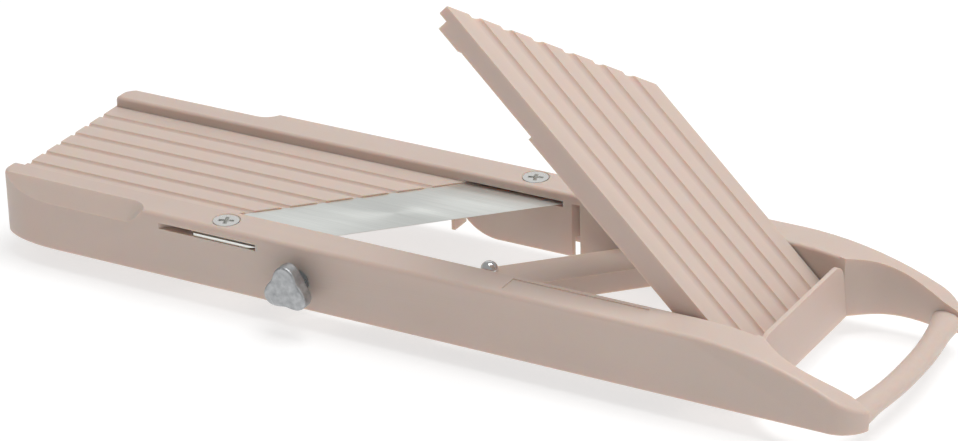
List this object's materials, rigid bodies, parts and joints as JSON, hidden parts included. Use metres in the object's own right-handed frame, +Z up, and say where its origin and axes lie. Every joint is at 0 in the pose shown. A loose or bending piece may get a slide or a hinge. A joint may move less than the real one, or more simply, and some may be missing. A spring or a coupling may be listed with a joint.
{
  "type": "mandoline slicer",
  "caption": "Hand-held slicer: railed frame with ribbed landing plate, slanted steel blade, hinged ribbed infeed plate, thickness screw and side clamp knob.",
  "frame": {"origin": "on the underside plane of the rails and crossbar, at the middle of the diagonal crossbar", "axes": "+X along the tool from the discharge end to the handle, +Y across towards the rail without the side knob, +Z up"},
  "size_m": [0.3209, 0.0959, 0.1171],
  "materials": {
    "frame_plastic": "satin moulded plastic, warm pinkish beige",
    "plate_plastic": "satin moulded plastic, warm pinkish beige",
    "blade_steel": "ground stainless strip",
    "screw_steel": "bright plated",
    "insert_brass": "turned brass",
    "cast_knob": "tumbled zinc die casting",
    "stud_steel": "zinc plated thread",
    "cap_chrome": "polished"
  },
  "bodies": {
    "frame_body": {"frame": "frame_plastic", "blade": "blade_steel", "blade_screws": "screw_steel", "blade_inserts": "insert_brass", "adjuster_insert": "insert_brass", "clamp_insert": "stud_steel"},
    "plate_body": {"infeed_plate": "plate_plastic"},
    "adjuster_slide": {"adjuster_cap": "cap_chrome"},
    "adjuster_turn": {"adjuster_screw": "stud_steel", "adjuster_knob": "cast_knob"},
    "clamp_slide": {"clamp_pad": "stud_steel"},
    "clamp_turn": {"clamp_screw": "stud_steel", "clamp_knob": "cast_knob"}
  },
  "joints": [
    {"name": "plate_hinge", "type": "hinge", "parent": "frame_body", "child": "plate_body", "pos_m": [0.0812, 0, 0.0124], "axis": [0, 1, 0], "range_deg": [-44.5, 45]},
    {"name": "adjuster_travel", "type": "slide", "parent": "frame_body", "child": "adjuster_slide", "axis": [0, 0, 1], "range_m": [-0.0025, 0]},
    {"name": "adjuster_spin", "type": "hinge", "parent": "adjuster_slide", "child": "adjuster_turn", "pos_m": [-0.00941, -0.00941, 0], "axis": [0, 0, 1], "range_deg": [-1125.5, 0.5]},
    {"name": "clamp_travel", "type": "slide", "parent": "frame_body", "child": "clamp_slide", "axis": [0, 1, 0], "range_m": [-0.0015, 0.001]},
    {"name": "clamp_spin", "type": "hinge", "parent": "clamp_slide", "child": "clamp_turn", "pos_m": [-0.0612, 0, 0.0102], "axis": [0, 1, 0], "range_deg": [-675.5, 450.5]}
  ],
  "couplings": [
    {"joint": "adjuster_spin", "follows": "adjuster_travel", "rad_per_m": 7854},
    {"joint": "clamp_spin", "follows": "clamp_travel", "rad_per_m": 7854}
  ]
}
